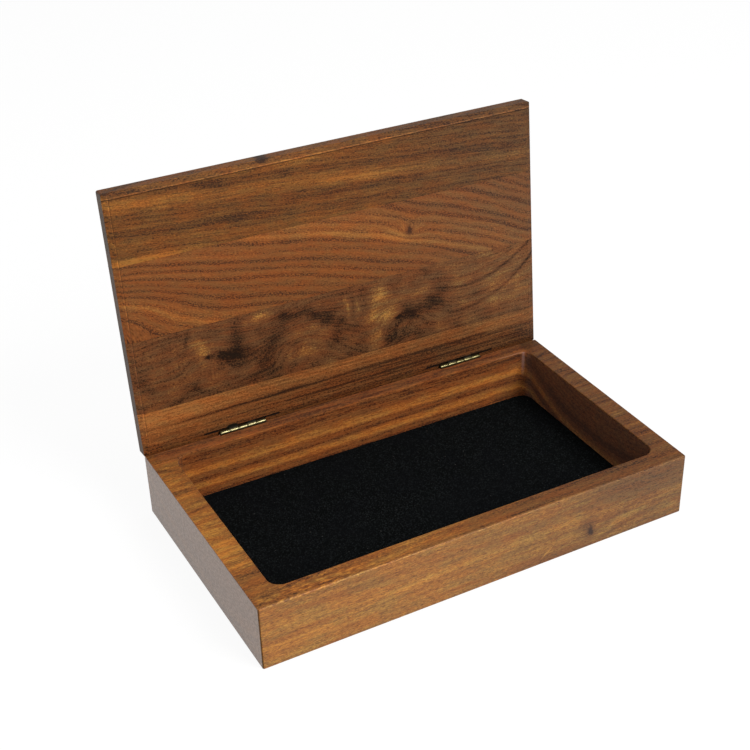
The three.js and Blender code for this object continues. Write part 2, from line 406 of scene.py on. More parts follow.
hingeCentres = [sum(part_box("hinge_" + side + "_pin"), Vector()).x / 2 / mm for side in ("left", "right")]


def kerfShade(along, aside, depth, settings):  # painted shade on the walls of the kerfs and in the grooves round the barrels
    shade = 1.0
    for centre in hingeCentres:
        made = useGroup(kerfGroup, {"Along": along, "Aside": aside, "Depth": depth, "Centre": centre})
        shade = (1.0 - made["Kerf"] * settings["kerfPaintedShade"]) * shade
        shade = (1.0 - made["Groove"] * settings["groovePaintedShade"]) * shade
    return shade


def finishWalnut(shader, settings, fibre, ring, tone, place, centre, halfSize, drift, shade, outside=1.0,
                 calm=1.0, tints=(), marks=(), matt=None):
    made = useGroup(grainGroup, {
        "Fibre": fibre, "Ring": ring, "Spacing": settings["spacing"],
        "Tone": (tone - 0.5) * settings["figure"] + settings["level"],
        "Ring Strength": calm * settings["ringStrength"], "Streak Strength": calm * settings["streaks"],
        "Speckle Strength": settings["speckle"], "Pore Strength": settings["pores"],
        "Light Colour": tint(settings["light"]), "Middle Colour": tint(settings["middle"]),
        "Dark Colour": tint(settings["dark"])})
    colour = blendColour(drift, made["Color"], made["Color"] * settings["drift"])
    worn = useGroup(wearGroup, {"Vector": place, "Centre": centre, "Half Size": halfSize,
                                "Colour": colour, "Width": 0.9, "Strength": settings["wear"]})
    # end grain is greyer, outside more so, where the grey is partly painted reflection of the pale
    # surroundings; outside it is also rubbed to a low sheen
    ends = abs(split(addNode(place.tree, "ShaderNodeNewGeometry", output="Normal"))[0]).step(0.6, 0.9)
    inner, outer = settings["endMix"]
    greyed = ends * (outside * (outer - inner) + inner)
    colour = blendColour(greyed, worn["Color"], tint(settings["endGrain"]))
    colour = colour * shade
    for mask, hue in tints:
        colour = blendColour(mask, colour, colour * hue)
    colour = layered(colour, marks)
    # end grain is full of pores, so it is finely flecked
    flecked = noise(place, (0.3, 0.4, 0.9), 4.0, 0.75).step(0.3, 0.7, 0.66, 1.34)
    fleckShade = (flecked - 1.0) * ends + 1.0
    feed(shader["Base Color"], colour * fleckShade)
    feed(shader["Roughness"], made["Roughness"] - worn["Mask"] * 0.06)
    polish = 1.0 if matt is None else 1.0 - matt
    feed(shader["Specular IOR Level"], polish * settings["specular"])
    if settings["endCoat"]:
        feed(shader["Coat Weight"], ends * outside * settings["endCoat"] * fleckShade * polish)
        feed(shader["Coat Roughness"], settings["coatRoughness"])
    feed(shader["Normal"], bump(made["Height"], 0.5, settings["bump"]))


# walnut of the base: rings round a pith high above the block

baseWood = {
    "light": "b67a34", "middle": "825027", "dark": "432819", "endGrain": "7c5a3e",
    "pith": (-10.0, 192.0),  # across and above the block, in mm
    "spacing": 3.4, "ringStrength": 0.22, "streaks": 0.58, "speckle": 0.5, "pores": 0.7,
    "figure": 1.0, "level": 0.52, "sway": 6.0, "wallStripes": 0.35,
    "tones": [
        (150, 0.5), (154, 0.6), (158, 0.45), (162, 0.58), (166, 0.45), (170, 0.52), (172, 0.4), (175, 0.22),
        (178, 0.45), (181, 0.5), (184, 1), (186.5, 0.62), (189.6, 0.26), (191.8, 0.55), (194.5, 0.95),
        (197, 0.55), (199, 0.32), (203, 0.4),
    ],
    "drift": (0.6, 0.64, 0.8), "driftReach": (-70.0, 130.0),  # the colour's change towards the right
    "frontShade": (1.12, 1.29, 1.46), "wallShade": (1.14, 1.03, 1.16), "endWallShade": (1.06, 1.32, 1.8),
    # on the front: along from the left end, and up from the underside
    "frontTone": (0.16, 0.585), "frontCalm": 0.5, "frontDashes": 0.44,
    "frontSpots": [
        (211.4, 11.5, 2.5, 4.4, 4, -0.5), (212, 10.5, 1.3, 2.4, 12, -0.4), (208, 16, 5.5, 6, 0, -0.2),
        (198, 22, 10, 7, 0, 0.1), (248, 34, 38, 9, -2, -0.26), (185, 2.5, 26, 2.4, -1, -0.24),
        (30, 15, 48, 1.6, 2, 0.14), (95, 20, 40, 1.4, 4, 0.08), (22, 5, 30, 2, 0, 0.1),
        (110, 11, 60, 1.5, 2, -0.12), (60, 31, 50, 2, 0, -0.1), (150, 28, 60, 2.6, 2, -0.1),
        (180.5, 6.8, 4.2, 0.3, 38, 0.7),
    ],
    "frontLines": [
        (281, 19, -0.0034, 1.8, 206, 300, 0.12), (281, 25, -0.0034, 1.3, 206, 300, -0.12),
        (281, 12.5, -0.0025, 1.1, 216, 300, -0.18), (281, 8, -0.0018, 1.4, 214, 300, 0.06),
    ],
    # on the rim: along from the left end, and back from the front
    "rimSpots": [
        (6, 97, 10, 1.1, 8, -0.5), (4, 143, 12, 1.6, -22, -0.4), (6, 120, 9, 1, 0, -0.25),
        (4, 66, 12, 34, 0, 0.3), (5, 138, 10, 26, 0, 0.16), (274, 145, 8, 1, 24, -0.3),
        (274, 114, 8, 1, 6, -0.36), (273, 97, 8, 0.9, -6, -0.3), (274, 75, 8, 0.9, 0, -0.26),
        (272, 40, 9, 1, 4, -0.2), (60, 6, 60, 8, 0, 0.14),
    ],
    "rimRipple": (26, 4, 46, 9, 0, 1.9),
    # a painted highlight down the back right corner: where it stands, and its colour
    "paintedGleam": (122.9, 69.4), "paintedGleamColour": "b08a80",
    "paintedHighlightLine": 79.8,  # how far back on the rim the painted highlight line lies, where the lid's lower edge meets it
    "mouthBack": 70.7,  # the back edge of the tray's mouth, left unpolished
    # the end grain's grey share inside and outside; the larger share outside is partly painted reflection
    "wear": 0.4, "endMix": (0.3, 0.85), "endCoat": 0.58, "coatRoughness": 0.32,
    "specular": 0.22, "bump": 0.06,
}


def baseWalnut(settings):
    material, tree, shader = newMaterial("baseWalnut")
    place = objectPlace(tree)
    x, y, z = split(place)  # from the middle of the underside
    pithAcross, pithHeight = settings["pith"]
    ring = combine("LENGTH", join(0.0, y - pithAcross, z - pithHeight))
    ring = ring + (noise(place, (0.006, 0.012, 0.012)) - 0.5) * settings["sway"]
    tone = spread(ring, settings["tones"])
    front = y.step(-80.5, -82.2)
    rim = z.step(40.2, 40.9)
    outside = abs(x).step(132.0, 136.0)
    along = x + caseSize.x / 2
    back = y + caseSize.y / 2
    # the outer front is paler and more even, with a knot low on the right
    keep, level = settings["frontTone"]
    frontPlace = join(along, z)
    figure = spotSum(loosen(frontPlace, 3.0, 0.12), settings["frontSpots"])
    figure = lineSum(loosen(frontPlace, 3.0, 0.05), settings["frontLines"]) + figure
    dashes = noise(frontPlace, (0.2, 2.2, 1.0), 2.0, 0.6).step(0.52, 0.7, 0.0, settings["frontDashes"])
    tone = front * (tone * (keep - 1.0) + level + figure - dashes) + tone
    calm = 1.0 - front * settings["frontCalm"]
    # the rim has its own marks, and a rippled patch on the left of the front
    rimPlace = join(along, back)
    slanted = join(along * 0.2 + back * 0.1, back * 0.5 - along * 0.08)
    ripple = (noise(slanted, 1.0) - 0.5) * spotSum(rimPlace, [settings["rimRipple"]])
    tone = rim * (spotSum(loosen(rimPlace, 3.0, 0.15), settings["rimSpots"]) + ripple) + tone
    # the colour cools towards the right on the front and the rim, not in the tray or along the hinges
    cools = rim * larger(y.step(70.0, 66.0), x.step(124.0, 128.0))
    drift = x.step(*settings["driftReach"]) * larger(front, cools)
    # the end walls of the tray are darker, and striped by the rings
    wall = abs(x - trayMiddle).step(122.0, 126.0) * abs(y).step(76.0, 74.0) * (1.0 - outside) * (1.0 - rim)
    tone = (tone - 0.85) * wall * settings["wallStripes"] + tone
    # a painted highlight down the round corner at the back right
    paintedGleam = combine("DISTANCE", join(x, y), settings["paintedGleam"] + (0.0,)).step(1.6, 0.1) * z.step(20.0, 32.0)
    # a painted highlight line where the lid's lower edge touches the back of the rim
    shade = abs(y - settings["paintedHighlightLine"]).step(0.55, 0.15) * rim * 0.45 + 1.0
    behind, above = y - pinCentre.y, z - pinCentre.z
    # painted shade in the hinge kerfs and round the barrels
    shade = kerfShade(x, (behind - above) * slant, (behind + above) * -slant, kerfSettings) * shade
    # the near upright arris on the left is made darker and without sheen
    darkenedArris = x.step(-138.7, -139.4) * y.step(-81.4, -82.1) * (x + y).step(-220.6, -221.2)
    shade = shade * (1.0 - darkenedArris * 0.6)
    # and the front arris of the rim is a shade darker than the faces beside it
    shade = shade * (z - y).step(123.1, 123.4, 1.0, 0.94)
    matt = abs(y - settings["mouthBack"]).step(1.0, 0.6) * x.step(118.0, 90.0) * (1.0 - outside)
    tray = 1.0 - larger(outside, larger(front, cools))
    # the front's paler, bluer tint is partly the wood and partly painted reflection of the pale floor
    finishWalnut(shader, settings, place, ring, tone, place, (baseLow + baseHigh) / mm / 2, caseSize / 2,
                 drift, shade, outside, calm,
                 tints=[(front, settings["frontShade"]), (tray, settings["wallShade"]),
                        (wall, settings["endWallShade"])],
                 marks=[(paintedGleam * 0.42, settings["paintedGleamColour"])], matt=larger(matt, darkenedArris))
    return material


# walnut of the lid: u runs along it from the left, l across it from the free edge, w up from its inner face

def lidPlace(tree):
    turned = addNode(tree, "ShaderNodeMapping", {
        "Vector": objectPlace(tree), "Location": pinCentre, "Rotation": (-openAngle, 0.0, 0.0),
    }, vector_type="TEXTURE")
    return turned + (caseSize.x / 2, caseSize.y - pinInset, -lidGap)


lidFinish = {  # what the boards share, where a board doesn't say otherwise
    "slope": (0.0, 0.0), "follow": 1.0, "rises": [], "lines": [], "chips": [], "chipPaintedShade": "17140c",
    "speckle": 0.9, "pores": 0.7, "redden": 0.3, "endGrain": "46413a",
    "wear": 0.5, "endMix": (0.7, 0.7), "endCoat": 0.0, "specular": 0.08, "bump": 0.05,
}
frontBoard = {
    **lidFinish, "piece": "frontBoard", "node": "lid_board_front",
    "slot": "lid_walnut_straight", "material": "straightWalnut",
    "light": "9a632b", "middle": "6d4421", "dark": "372317", "endGrain": "4a443b",
    "figure": 0.9, "level": 0.5, "loose": (4.0, 0.06), "slope": (0.085, 0.0), "sway": 5.0,
    "spacing": 3.2, "ringStrength": 0.2, "streaks": 0.5, "cloud": 0.35,
    "tones": [
        (-24, 0.42), (-16, 0.45), (-9, 0.5), (-3.5, 0.65), (1.5, 0.2), (5, 0.72), (8.5, 0.78),
        (12, 0.6), (15.2, 0.35), (18, 0.5), (21, 0.62), (25, 0.22), (29.7, 0.7), (33, 0.55),
        (36.5, 0.35), (40, 0.85), (45, 0.6),
    ],
    "spots": [
        (15, 42, 34, 2, 0, 0.4), (22, 8, 30, 4, 2, 0.15), (66, 9, 14, 2.2, 9, -0.3),
        (72, 30, 22, 3, 5, -0.12), (160, 23, 24, 2.6, 4, 0.3), (122, 5, 26, 2.2, 0, 0.25),
        (215, 12, 60, 9, 6, -0.12), (232, 30, 50, 10, 5, -0.1), (250, 26, 24, 2, 6, -0.15),
        (97, 0.5, 3, 1.6, 0, -0.9),
    ],
    "lines": [(140, 29.5, 0, 2.2, 55, 210, -0.1), (140, 36.5, 0, 1.2, 60, 190, -0.1)],
    "drift": (0.75, 0.92, 1.4),
}
midFrontBoard = {
    **lidFinish, "piece": "midFrontBoard", "node": "lid_board_mid_front",
    "slot": "lid_walnut_red", "material": "redWalnut",
    "light": "a36931", "middle": "7b4925", "dark": "452a1a", "endGrain": "4a443b",
    "figure": 0.55, "level": 0.57, "loose": (2.0, 0.06), "slope": (0.08, 0.00065), "sway": 6.0,
    "rises": [(-10, 72, 45, 20, 0, 20), (188, 64.5, 9, 4.5, 20, -5)],
    "spacing": 5.8, "ringStrength": 0.4, "streaks": 0.22, "pores": 0.6, "cloud": 0.25,
    "tones": [
        (-32, 0.5), (-21, 0.3), (-14, 0.5), (-7.7, 0.36), (-2, 0.5), (4, 0.55), (9.5, 0.32), (14, 0.55),
        (21, 0.7), (27, 0.62), (31.5, 0.95), (34, 0.7), (36.9, 0.36), (39, 0.5), (43, 0.62),
        (45.5, 0.45), (48.6, 0.36), (51, 0.5), (56, 0.58), (60, 0.48), (65.6, 0.35), (72, 0.45),
        (78, 0.35), (82, 0.95), (86, 0.75), (90, 0.45), (96, 0.4), (102, 0.4),
    ],
    "spots": [
        (188.5, 64.5, 2.4, 2.2, 0, -1.6), (181, 66, 10, 4.5, 10, 0.35), (150, 56, 40, 3, 14, 0.15),
    ],
    "drift": (0.78, 0.96, 1.35),
}
midRearBoard = {
    **lidFinish, "piece": "midRearBoard", "node": "lid_board_mid_rear",
    "slot": "lid_walnut_figured", "material": "figuredWalnut",
    "light": "b0803f", "middle": "6a4226", "dark": "21150c",
    "figure": 0.78, "level": 0.47, "loose": (6.5, 0.11), "follow": 0.35,
    "sway": 16.0, "cloud": 0.95, "redden": 0.4,
    "rises": [
        (47, 112, 16, 12, 20, 14), (84, 94, 18, 10, 10, -12), (112, 119, 24, 15, 0, 18),
        (180, 120, 24, 13, 0, 16), (160, 130, 14, 12, 0, -9), (238, 92, 36, 20, 0, -14),
    ],
    "spacing": 3.4, "ringStrength": 0.16, "streaks": 0.24, "speckle": 0.85, "pores": 0.4,
    "tones": [(70, 0.5), (95, 0.42), (105, 0.5), (118, 0.42), (128, 0.48), (140, 0.4), (165, 0.5)],
    "spots": [
        (45, 109, 11, 5.5, 62, 0.42), (48, 112, 2.6, 1.5, 0, -1), (57, 113, 11, 3.6, 8, -0.32),
        (68, 117, 13, 8, 30, -0.17), (85, 95, 9, 4.5, 10, 0.42), (97, 98.5, 11, 3.2, 10, -0.32),
        (108, 100, 15, 4, 18, -0.22), (124, 106, 14, 3.8, 30, -0.25), (135, 115, 10, 5, 60, -0.24),
        (112, 119, 20, 12, 0, 0.2), (67, 106, 11, 4.5, 90, -0.32), (88, 122, 20, 9, 102, -0.3),
        (134, 124, 8, 4, 60, -0.2), (142, 104, 9, 1.6, 86, 0.25), (148, 105, 9, 1.4, 92, 0.25),
        (165, 98, 11, 6, 100, 0.24), (160, 112, 9, 4, 112, 0.22), (170, 115, 9, 5, -20, 0.36),
        (181, 108, 12, 5, 0, 0.08), (193, 110, 8, 4, 30, 0.1), (176.5, 120, 2, 1.5, 0, -1),
        (185, 119.5, 7, 4.2, 0, -0.42), (197, 117, 15, 8.5, 0, -0.2), (205, 115, 6, 14, 20, -0.15),
        (160, 127, 12, 6, 118, 0.28), (171, 133, 9, 6, -20, -0.38), (250, 112, 46, 26, 0, 0.2),
        (210, 122, 9, 4, 30, -0.16), (20, 127, 17, 8, -10, 0.12), (33, 131, 15, 2.6, -25, -0.26),
        (27, 106, 12, 1.8, 95, 0.12), (12, 104, 12, 3, 92, 0.08), (8, 118, 14, 3, 70, -0.12),
        (36, 98, 8, 1.6, 110, -0.3),
    ],
    "lines": [
        (226, 110.5, -0.0075, 1.3, 200, 290, -0.36), (222, 127, -0.0082, 1.3, 208, 296, -0.34),
        (226, 104, -0.0075, 1, 214, 276, -0.14), (232, 119, -0.0085, 1.1, 214, 290, -0.16),
    ],
    "drift": (1.02, 1.13, 1.24),
}
rearBoard = {
    **lidFinish, "piece": "rearBoard", "node": "lid_board_rear",
    "slot": "lid_walnut_rear", "material": "stripedWalnut",
    "light": "a66a36", "middle": "764725", "dark": "352013",
    "figure": 0.9, "level": 0.51, "loose": (3.0, 0.06), "slope": (0.009, 0.0), "sway": 1.5,
    "spacing": 2.6, "ringStrength": 0.22, "streaks": 0.5, "cloud": 0.1,
    "chips": [(57, 161, 4, 1.5, 0, 1)],  # a chip broken out beside the left barrel, drawn only as near-black painted shade
    "tones": [
        (134, 0.7), (139, 0.75), (142, 0.66), (145.5, 0.7), (147.4, 0.3), (148.6, 0.5), (150.5, 0.55),
        (152, 0.35), (153.4, 0.55), (155, 0.35), (157, 0.55), (159.5, 0.2), (161.5, 0.4), (164, 0.4),
        (166, 0.4),
    ],
    "spots": [
        (25, 145, 45, 14, 0, 0.3), (250, 146, 14, 5, 0, 0.25), (95, 147.5, 12, 1.2, 0, -0.3),
        (190, 155, 60, 7, 0, -0.16), (268, 154, 20, 6, 20, -0.25),
    ],
    "lines": [
        (140, 148.4, 0.00002, 0.8, 18, 250, -0.4), (170, 151, 0, 0.7, 110, 260, -0.32),
        (190, 155.2, 0, 0.8, 90, 270, -0.26), (60, 154.5, 0, 0.6, 0, 150, -0.2),
    ],
    "drift": (0.86, 0.96, 1.1),
}
# painted light at the step: for each edge the highlight's strength, the dark line's and the strip's painted
# shade; where the two lines lie, and half their width
borderPaintedLight = {
    "edges": {"free": (0.8, 0.5, 0.05), "left": (0.5, 0.12, 0.0), "right": (0.12, 0.15, 0.14)},
    "lightLine": 3.4, "darkLine": 4.05, "halfWidth": 0.4,
}


def borderShade(u, l, w, settings):  # a painted highlight and a painted dark line along the step on the inner face, and painted shade on the strip outside it
    inner = w.step(2.2, 1.6)
    distances = {"free": l, "left": u, "right": caseSize.x - u}
    half = settings["halfWidth"]
    shade = 1.0
    for edge, (light, dark, strip) in settings["edges"].items():
        away = distances[edge]
        for at, amount in ((settings["lightLine"], light), (settings["darkLine"], -dark)):
            shade = (abs(away - at).step(half, half * 0.3) * inner * amount + 1.0) * shade
        shade = (1.0 - away.step(3.2, 2.6) * inner * strip) * shade
    return shade


def lidWalnut(settings):
    material, tree, shader = newMaterial(settings["material"])
    place = lidPlace(tree)
    u, l, w = split(place)
    steady, bend = settings["slope"]
    ring = l - u * (u * bend + steady) + (noise(place, (0.014, 0.03, 0.03)) - 0.5) * settings["sway"]
    ring = spotSum(place, settings["rises"]) + ring + w * 0.35
    loose = loosen(place, *settings["loose"])
    tone = spotSum(loose, settings["spots"]) + spread(ring, settings["tones"])
    tone = lineSum(loosen(place, 1.5, 0.05), settings["lines"]) + tone
    tone = (noise(loose, (0.07, 0.1, 0.1), 3.0, 0.55) - 0.5) * settings["cloud"] + tone
    reddish = noise(loose, (0.05, 0.08, 0.08)).step(0.4, 0.65, 0.0, settings["redden"])
    # the fibres follow the rings, wholly or in part
    fibre = join(u, ring * settings["follow"] + l * (1.0 - settings["follow"]), w)
    behind, above = l - (caseSize.y - pinInset), w + lidGap
    # painted shade in the hinge kerfs and round the barrels
    shade = kerfShade(u - caseSize.x / 2, (behind + above) * -slant, (above - behind) * slant, kerfSettings)
    shade = shade * borderShade(u, l, w, borderPaintedLight)
    innerFace = w.step(2.0, 1.0)
    # chips are drawn as near-black painted shade on the inner face
    marks = [((spotSum(place, [chip]) * innerFace).step(0.35, 0.5), settings["chipPaintedShade"])
             for chip in settings["chips"]]
    halfSize = (caseSize.x / 2, caseSize.y / 2, lidThickness / 2)
    finishWalnut(shader, settings, fibre, ring, tone, place, halfSize, halfSize, u.step(120.0, 290.0), shade,
                 tints=[(reddish, (1.14, 0.95, 0.84))], marks=marks)
    return material


def bakeModifiers(piece):
    view = bpy.context.evaluated_depsgraph_get()
    mesh = bpy.data.meshes.new_from_object(piece.evaluated_get(view), depsgraph=view)
    old = piece.data
    piece.modifiers.clear()
    piece.data = mesh
    bpy.data.meshes.remove(old)
    mesh.name = piece.name


def smoothByAngle(shape, degrees):
    for face in shape.faces:
        face.smooth = True
    for edge in shape.edges:
        edge.smooth = len(edge.link_faces) == 2 and edge.calc_face_angle() < radians(degrees)


def meshOf(name, shape, material):
    mesh = bpy.data.meshes.new(name)
    shape.to_mesh(mesh)
    shape.free()
    mesh.materials.append(material)
    return mesh


def settle(piece, body, slot, *standsFor):
    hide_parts(*standsFor)
    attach(piece, body)


def fineCopy(nodeName, pieceName, material, body, slot):  # the CAD mesh, cleaned and smoothly shaded
    shape = bmesh.new()
    shape.from_mesh(frame["nodes"][nodeName].data)
    bmesh.ops.remove_doubles(shape, verts=shape.verts, dist=0.002 * mm)
    bmesh.ops.dissolve_limit(shape, angle_limit=radians(0.2), verts=shape.verts, edges=shape.edges)
    smoothByAngle(shape, 40)
    piece = addObject(pieceName, meshOf(pieceName, shape, material))
    weight = piece.modifiers.new("evenNormals", "WEIGHTED_NORMAL")
    weight.keep_sharp = True
    weight.weight = 100
    bakeModifiers(piece)
    settle(piece, body, slot, nodeName)


fineCopy("base_block", "baseBlock", baseWalnut(baseWood), "base", "base_walnut")
for board in (frontBoard, midFrontBoard, midRearBoard, rearBoard):
    fineCopy(board["node"], board["piece"], lidWalnut(board), "lid", board["slot"])
print("wood made")


# hinges: leaves rolled from sheet round a wire pin

hingeSettings = {
    "length": 30.0, "knuckles": 5, "gap": 0.2, "barrel": 1.5, "bore": 0.86, "pin": 0.75,
    "sheet": 0.6, "reach": 9.4, "corner": 5.0, "root": 1.8, "ease": 0.14,
    "seamAngle": 20.0,  # where the rolled edge stops, round from the leaf, in degrees
    "rollSteps": 40, "easeSteps": 3, "cornerSteps": 12, "pinSides": 28,
    "headRadius": 1.2, "headLength": 0.4, "headDome": 0.28,
    "teeth": 3, "toothPitch": 0.8, "toothDepth": 0.4, "leafEase": 0.08,
    "baseTurn": 225.0, "lidTurn": 135.0,
}
brassSettings = {
    "leaf": ("98906a", 0.6), "pin": ("6a5e3c", 0.7),  # colour, and how much of it is tarnished
    "tarnish": "6f5c33", "rightHinge": "5c5430", "specks": "4a3b22", "paintedBarrelShade": "3a301c", "paintedLeafShadeColour": "14110c",
    "paintedHighlightFacing": (0.0, -0.88, 0.47),  # which way the barrels' painted highlight line faces
}


def brass(name, kind, settings):
    material, tree, shader = newMaterial(name)
    code, tarnish = settings[kind]
    place = objectPlace(tree)
    drawn = noise(place, (0.7, 9.0, 9.0), 3.0)
    dull = noise(place, 0.9, 4.0, 0.6).step(0.42, 0.7, 0.0, tarnish)
    specks = noise(place, 9.0).step(0.64, 0.78, 0.0, 0.5)
    rightward = split(place)[0].step(-40.0, 60.0, 0.0, 0.5)  # the right hinge is duller
    # the leaves are painted black where they leave the barrel, as painted shade of the kerfs they run into
    fromPin = (place - pinCentre) * (0.0, 1.0, 1.0)
    paintedLeafShade = combine("LENGTH", fromPin).step(1.52, 1.75)
    # painted shade darkens the barrel all round but for one line facing front and up, left bright as a
    # painted highlight
    paintedBarrelShade = combine("DOT_PRODUCT", fromPin / 1.5, settings["paintedHighlightFacing"]).step(0.995, 0.93)
    feed(shader["Base Color"], layered(tint(code), [
        (dull, settings["tarnish"]), (rightward, settings["rightHinge"]), (specks, settings["specks"]),
        (paintedBarrelShade * 0.85, settings["paintedBarrelShade"]), (paintedLeafShade * 0.95, settings["paintedLeafShadeColour"])]))
    feed(shader["Metallic"], 1.0 - paintedLeafShade * 0.9)
    feed(shader["Specular IOR Level"], 0.5 - paintedLeafShade * 0.4)
    feed(shader["Roughness"], drawn * 0.14 + dull * 0.3 + 0.22 + paintedBarrelShade * 0.2 + paintedLeafShade * 0.3)
    feed(shader["Normal"], bump(drawn, 0.4, 0.02))
    return material


def meshFromRings(name, rings, material):
    shape = bmesh.new()
    rows = [[shape.verts.new(Vector(point) * mm) for point in ring] for ring in rings]
    for near, far in zip(rows, rows[1:]):
        for i in range(len(near)):
            j = (i + 1) % len(near)
            shape.faces.new((near[i], near[j], far[j], far[i]))
    shape.faces.new(rows[0][::-1])
    shape.faces.new(rows[-1])
    bmesh.ops.recalc_face_normals(shape, faces=shape.faces)
    smoothByAngle(shape, 35)
    return meshOf(name, shape, material)


def rolledSection(x, outer, inner, settings):
    top, under = settings["barrel"], settings["barrel"] - settings["sheet"]
    shrink = settings["barrel"] - outer
    reach = settings["root"] + 0.3
    first, last = radians(90), radians(360 + settings["seamAngle"])
    angles = [first + (last - first) * i / settings["rollSteps"] for i in range(settings["rollSteps"] + 1)]
    points = [(x, reach, top - shrink)]
    points += [(x, outer * cos(a), outer * sin(a)) for a in angles]
    points += [(x, inner * cos(a), inner * sin(a)) for a in reversed(angles)]
    points += [(x, 0.35, under + shrink), (x, reach, under + shrink)]
    return points


def knuckleMesh(settings, material):
    length = settings["length"] / settings["knuckles"] - settings["gap"]
    barrel, ease, steps = settings["barrel"], settings["ease"], settings["easeSteps"]
    rings = []
    for end in (-1, 1):
        for i in range(steps + 1)[::-end]:
            turn = pi / 2 * i / steps
            x = end * (length / 2 - ease + ease * cos(turn))
            outer = barrel - ease + ease * sin(turn)
            rings.append(rolledSection(x, outer, settings["bore"] + (barrel - outer) * 0.5, settings))
    return meshFromRings("knuckle", rings, material)


def leafOutline(settings):
    side = (settings["length"] - settings["gap"]) / 2 - settings["toothDepth"]
    root, corner, pitch = settings["root"], settings["corner"], settings["toothPitch"]
    turn = settings["reach"] - corner
    right = [(side, root)]
    for tooth in range(settings["teeth"]):
        y = root + tooth * pitch
        right += [(side + settings["toothDepth"], y), (side, y + pitch)]
    for i in range(settings["cornerSteps"] + 1):
        a = pi / 2 * i / settings["cornerSteps"]
        right.append((side - corner + corner * cos(a), turn + corner * sin(a)))
    return right + [(-x, y) for x, y in reversed(right)]


def leafMesh(settings, material):
    top, under, ease = settings["barrel"], settings["barrel"] - settings["sheet"], settings["leafEase"]
    halfLength, halfReach = settings["length"] / 2 - 1, (settings["reach"] - settings["root"]) / 2
    middle = (settings["root"] + settings["reach"]) / 2
    rings = [[(x * (1 - pull / halfLength), middle + (y - middle) * (1 - pull / halfReach), z)
              for x, y in leafOutline(settings)]
             for z, pull in ((under, ease), (under + ease, 0.0), (top - ease, 0.0), (top, ease))]
    return meshFromRings("leafPlate", rings, material)


def pinMesh(name, settings, material):
    stem = settings["length"] / 2
    end, head, wire = stem + settings["headLength"], settings["headRadius"], settings["pin"]
    dome = [(end - settings["headDome"] * (1 - cos(a)), head * sin(a))
            for a in (radians(d) for d in (12, 30, 48, 66, 80, 90))]
    right = [(stem, wire), (stem, head * 0.96)] + dome[::-1]
    profile = [(-x, r) for x, r in reversed(right)] + right
    sides = settings["pinSides"]
    turns = [2 * pi * k / sides for k in range(sides)]
    rings = [[(x, r * cos(turn), r * sin(turn)) for turn in turns] for x, r in profile]
    return meshFromRings(name, rings, material)


def endTree(geometry, given, made):  # instances become real geometry in the given material
    solid = addNode(geometry.tree, "GeometryNodeRealizeInstances", {0: geometry})
    feed(made["Geometry"], addNode(geometry.tree, "GeometryNodeSetMaterial", {
        "Geometry": solid, "Material": given["Material"]}))


def applyGeometryTree(piece, tree, values):
    modifier = piece.modifiers.new(tree.name, "NODES")
    modifier.node_group = tree
    for item in tree.interface.items_tree:
        if item.item_type == "SOCKET" and item.in_out == "INPUT" and item.name in values:
            modifier[item.identifier] = values[item.name]
    bakeModifiers(piece)


def makeRowTree():
    tree, given, made = newGroup("rowOfItems", {
        "Geometry": "Geometry", "Item": "Object", "Count": 3, "Pitch": 0.012, "First": 0.0,
        "Material": "Material",
    }, {"Geometry": "Geometry"}, "GeometryNodeTree")
    line = addNode(tree, "GeometryNodeMeshLine", {
        "Count": given["Count"], "Start Location": join(given["First"]), "Offset": join(given["Pitch"]),
    }, mode="OFFSET")
    item = addNode(tree, "GeometryNodeObjectInfo", {"Object": given["Item"]}, "Geometry")
    row = addNode(tree, "GeometryNodeInstanceOnPoints", {"Points": line, "Instance": item})
    both = tree.nodes.new("GeometryNodeJoinGeometry")
    for part in (row, given["Geometry"]):
        feed(both.inputs[0], part)
    endTree(Signal(both.outputs[0]), given, made)
    return tree


def makeHinges(settings):
    leafBrass = brass("hingeBrass", "leaf", brassSettings)
    wireBrass = brass("pinBrass", "pin", brassSettings)
    rowTree = makeRowTree()
    knuckle = addObject("knuckleItem", knuckleMesh(settings, leafBrass))
    pitch = settings["length"] / settings["knuckles"]
    leaves = {  # the first knuckle, how many there are, and how the leaf is turned
        "base": (0, 3, radians(settings["baseTurn"])),
        "lid": (1, 2, radians(settings["lidTurn"]) - openAngle),
    }
    for side in ("left", "right"):
        low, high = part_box("hinge_" + side + "_pin")
        middle = Matrix.Translation((low + high) / 2)
        for body, (first, count, turn) in leaves.items():
            piece = addObject(side + body.capitalize() + "Leaf", leafMesh(settings, leafBrass))
            applyGeometryTree(piece, rowTree, {
                "Item": knuckle, "Count": count, "Pitch": 2 * pitch * mm,
                "First": ((first + 0.5) * pitch - settings["length"] / 2) * mm, "Material": leafBrass})
            piece.data.transform(middle @ Matrix.Rotation(turn, 4, "X"))
            settle(piece, body, "hinge_brass", "hinge_" + side + "_" + body + "_leaf")
        pin = addObject(side + "Pin", pinMesh(side + "Pin", settings, wireBrass))
        pin.data.transform(middle)
        settle(pin, "base", "pin_brass", "hinge_" + side + "_pin")
    bpy.data.objects.remove(knuckle)


makeHinges(hingeSettings)
print("hinges made")


# felt: one pad laid in the tray, with matted fibres standing off it

feltSettings = {
    "corner": 7.6, "cells": (120, 68), "edge": 0.5, "edgeSteps": 3, "waves": 0.12,
    "fibreLength": 1.1, "fibreWidth": 0.035, "fibreRise": 0.16, "fibreSteps": 4,
    "density": 0.36,  # fibres to a square millimetre
    "seed": 11,
    "pad": "060808", "fibre": "0b0c0c",
    "nap": "0b0c0c", "specks": "202324", "cloud": "0c0d10", "lint": "6e6a66",
    "specular": 0.015,
}


